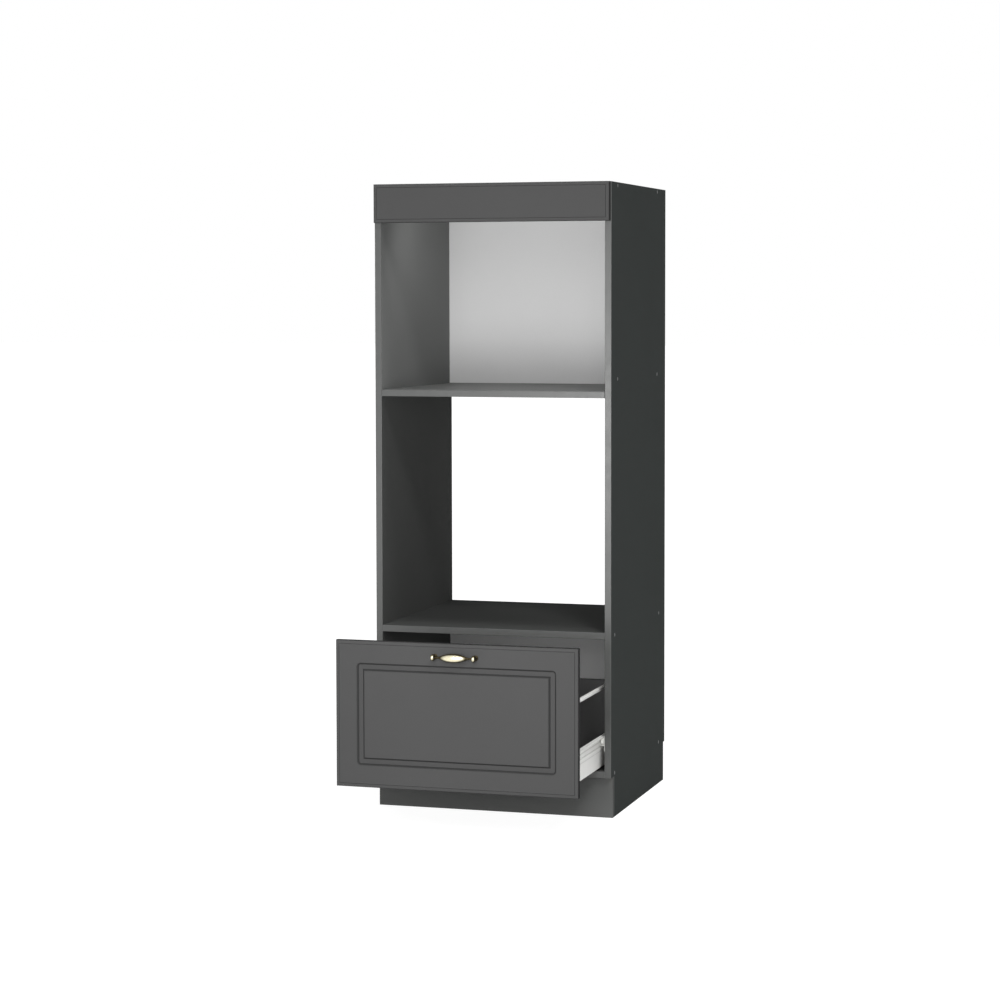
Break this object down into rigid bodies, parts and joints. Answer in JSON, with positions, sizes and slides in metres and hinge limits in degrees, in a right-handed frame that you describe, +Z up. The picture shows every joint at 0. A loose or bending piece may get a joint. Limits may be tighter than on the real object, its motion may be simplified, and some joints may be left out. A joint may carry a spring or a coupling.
{
  "type": "microwave cabinet",
  "caption": "Tall kitchen cabinet with a microwave niche over an open oven niche and a deep milled-front drawer on roller runners, standing on a plinth.",
  "frame": {"origin": "middle of the foot of the front plinth board: mid width, on the floor, half-way through that board", "axes": "+X to the right as seen from the front, +Y to the wall, +Z up"},
  "size_m": [0.6, 0.8815, 1.54],
  "materials": {
    "board": "dark grey melamine-faced chipboard, matt",
    "edge_band": "dark grey plastic edge banding, matt",
    "front": "milled fibreboard under dark grey matt film",
    "fibreboard": "thin fibreboard with a pale grey-white painted face",
    "zinc": "zinc-plated steel",
    "grey_plastic": "moulded grey plastic",
    "beech": "fluted beech",
    "white_steel": "white powder-coated sheet steel",
    "old_brass": "antique brass plate with darkened hollows",
    "nylon": "white nylon"
  },
  "bodies": {
    "cabinet": {"side_panel_left": "board", "side_panel_right": "board", "top_panel": "board", "microwave_shelf": "board", "oven_shelf": "board", "bottom_panel": "board", "back_panel_upper": "fibreboard", "back_panel_lower": "fibreboard", "side_edge_bands": "edge_band", "shelf_edge_bands": "edge_band", "fascia_panel": "front", "fascia_brackets": "zinc", "fascia_screws": "zinc", "plinth_front": "board", "plinth_rear": "board", "plinth_side_left": "board", "plinth_side_right": "board", "plinth_brackets": "zinc", "plinth_screws": "zinc", "carcass_screws": "zinc", "screw_caps": "grey_plastic", "shelf_cams": "zinc", "shelf_cam_bolts": "zinc", "shelf_dowels": "beech", "runner_left": "white_steel", "runner_right": "white_steel", "runner_screws": "zinc", "runner_axles": "zinc"},
    "drawer": {"drawer_front": "front", "drawer_side_left": "white_steel", "drawer_side_right": "white_steel", "drawer_bottom": "board", "drawer_back": "board", "gallery_rail_left": "white_steel", "gallery_rail_right": "white_steel", "rail_sockets": "grey_plastic", "rail_clips": "grey_plastic", "rail_screws": "zinc", "front_brackets": "zinc", "drawer_front_screws": "zinc", "drawer_back_screws": "zinc", "drawer_bottom_screws": "zinc", "handle": "old_brass", "handle_screws": "zinc", "drawer_axles": "zinc"},
    "front_roller_left": {"roller_front_left": "nylon"},
    "front_roller_right": {"roller_front_right": "nylon"},
    "rear_roller_left": {"roller_rear_left": "nylon"},
    "rear_roller_right": {"roller_rear_right": "nylon"}
  },
  "joints": [
    {"name": "drawer_slide", "type": "slide", "parent": "cabinet", "child": "drawer", "axis": [0, -1, 0], "range_m": [-0.2775, 0.0975]},
    {"name": "front_roller_left_spin", "type": "hinge", "parent": "cabinet", "child": "front_roller_left", "pos_m": [-0.27715, -0.0145, 0.19], "axis": [1, 0, 0], "continuous": true},
    {"name": "front_roller_right_spin", "type": "hinge", "parent": "cabinet", "child": "front_roller_right", "pos_m": [0.27715, -0.0145, 0.19], "axis": [1, 0, 0], "continuous": true},
    {"name": "rear_roller_left_spin", "type": "hinge", "parent": "drawer", "child": "rear_roller_left", "pos_m": [-0.27615, 0.183, 0.19], "axis": [1, 0, 0], "continuous": true},
    {"name": "rear_roller_right_spin", "type": "hinge", "parent": "drawer", "child": "rear_roller_right", "pos_m": [0.27615, 0.183, 0.19], "axis": [1, 0, 0], "continuous": true}
  ],
  "couplings": [
    {"joint": "front_roller_left_spin", "follows": "drawer_slide", "rad_per_m": 105.26},
    {"joint": "front_roller_right_spin", "follows": "drawer_slide", "rad_per_m": 105.26},
    {"joint": "rear_roller_left_spin", "follows": "drawer_slide", "rad_per_m": 105.26},
    {"joint": "rear_roller_right_spin", "follows": "drawer_slide", "rad_per_m": 105.26}
  ]
}
